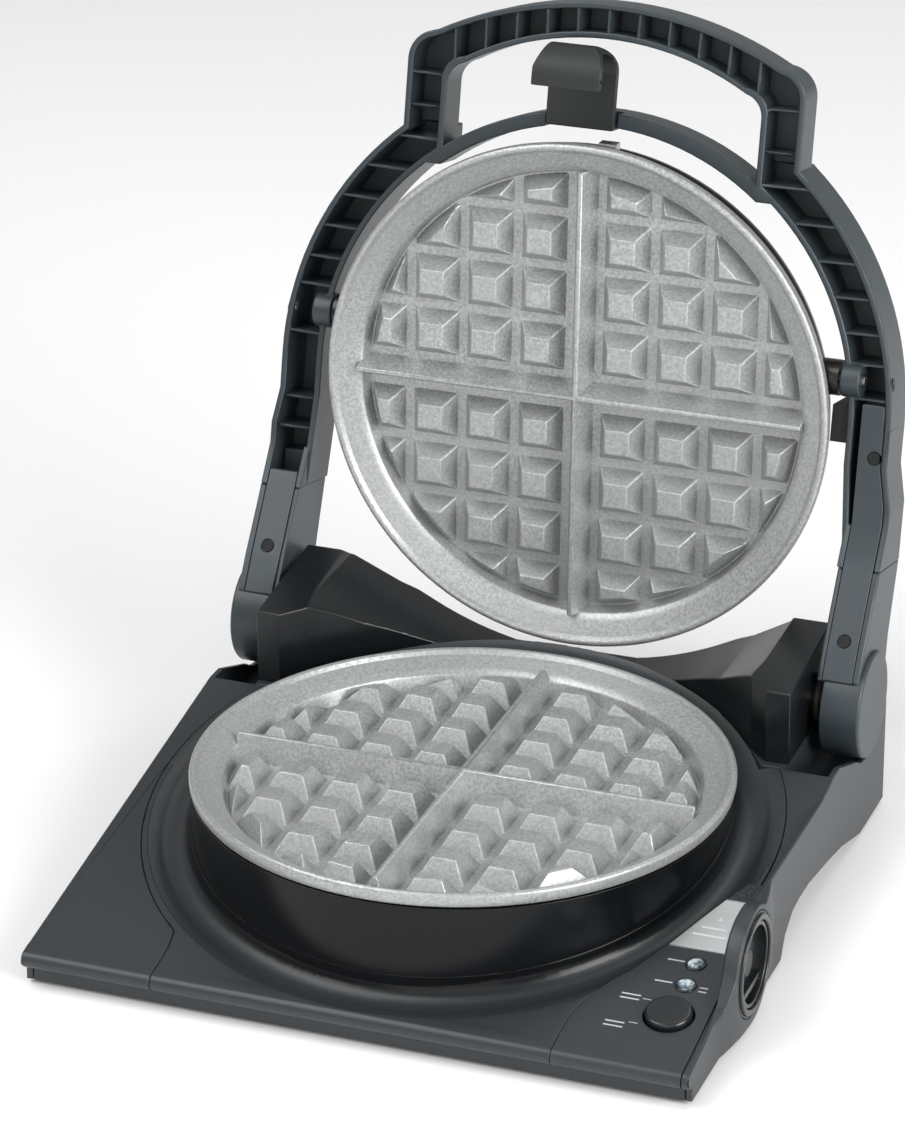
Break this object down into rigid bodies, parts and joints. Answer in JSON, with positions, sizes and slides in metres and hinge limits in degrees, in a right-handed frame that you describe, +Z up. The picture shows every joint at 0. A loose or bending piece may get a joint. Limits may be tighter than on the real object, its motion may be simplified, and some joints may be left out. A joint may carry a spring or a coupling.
{
  "type": "waffle_maker",
  "caption": "Round Belgian waffle maker with a tilting lid in a ribbed arch handle, a colour dial, a texture rocker and lamps; black plastic and non-stick grid plates.",
  "frame": {"origin": "on the table, under the middle of the object's outer box", "axes": "+X to the right as seen from the front, +Y to the rear, +Z up"},
  "size_m": [0.2562, 0.2938, 0.2966],
  "materials": {
    "base_black": "satin",
    "tower_black": "satin",
    "yoke_slate": "satin",
    "control_black": "gloss",
    "inner_plastic": "matte",
    "board_green": "satin",
    "label_silver": "brushed",
    "lens_clear": "gloss",
    "plate_nonstick": "satin",
    "dome_metal": "satin",
    "steel": "satin",
    "screw_black": "satin",
    "rubber": "matte"
  },
  "bodies": {
    "base": {"base_cover": "base_black", "tower_right": "tower_black", "tower_left": "tower_black", "dial_housing": "base_black", "pot_shroud": "base_black", "control_panel": "base_black", "label_plate": "label_silver", "lamp_lenses": "lens_clear", "circuit_board": "board_green", "rocker_carrier": "inner_plastic", "dial_bezel": "control_black", "dial_contact_disc": "inner_plastic", "dial_screw": "screw_black", "bottom_pan": "base_black", "pan_screws": "screw_black", "feet": "rubber", "cord_gland": "rubber", "terminal_block": "inner_plastic", "beeper": "inner_plastic", "hinge_pins": "steel", "hinge_bushes": "inner_plastic", "lower_grid_plate": "plate_nonstick", "lower_heating_element": "steel", "lower_heat_shield": "steel", "plate_spacers": "steel", "lower_plate_screws": "screw_black", "thermostat": "inner_plastic"},
    "yoke": {"yoke_frame": "yoke_slate", "hinge_arm_right": "yoke_slate", "hinge_arm_left": "yoke_slate", "right_arm_cover": "yoke_slate", "left_arm_cover": "yoke_slate", "arm_cover_screws": "screw_black", "lid_lead": "rubber", "lead_boot": "rubber", "latch_pin": "steel"},
    "lid": {"upper_grid_plate": "plate_nonstick", "upper_heating_element": "steel", "lid_dome": "dome_metal", "upper_heat_shield": "steel", "lid_spacers": "steel", "lid_screws": "screw_black", "trunnion_pins": "steel", "lid_clip": "steel"},
    "latch": {"latch_hook": "yoke_slate"},
    "dial": {"colour_dial": "control_black"},
    "rocker": {"texture_rocker": "control_black"}
  },
  "joints": [
    {"name": "yoke_hinge", "type": "hinge", "parent": "base", "child": "yoke", "pos_m": [0, 0.0714, 0.0541], "axis": [1, 0, 0], "range_deg": [0, 99]},
    {"name": "lid_tilt", "type": "hinge", "parent": "yoke", "child": "lid", "pos_m": [0, 0.10536, 0.1697], "axis": [1, 0, 0], "range_deg": [-5.87, 0]},
    {"name": "latch_pivot", "type": "hinge", "parent": "yoke", "child": "latch", "pos_m": [0, 0.12353, 0.2522], "axis": [1, 0, 0], "range_deg": [0, 32]},
    {"name": "dial_turn", "type": "hinge", "parent": "base", "child": "dial", "pos_m": [0.1255, -0.0842, 0.0256], "axis": [1, 0, 0], "range_deg": [-135, 135]},
    {"name": "rocker_tip", "type": "hinge", "parent": "base", "child": "rocker", "pos_m": [0.108, -0.11645, 0.01441], "axis": [1, 0, 0], "range_deg": [-6, 6]}
  ],
  "couplings": [
    {"joint": "lid_tilt", "follows": "yoke_hinge", "ratio": -0.05919}
  ]
}
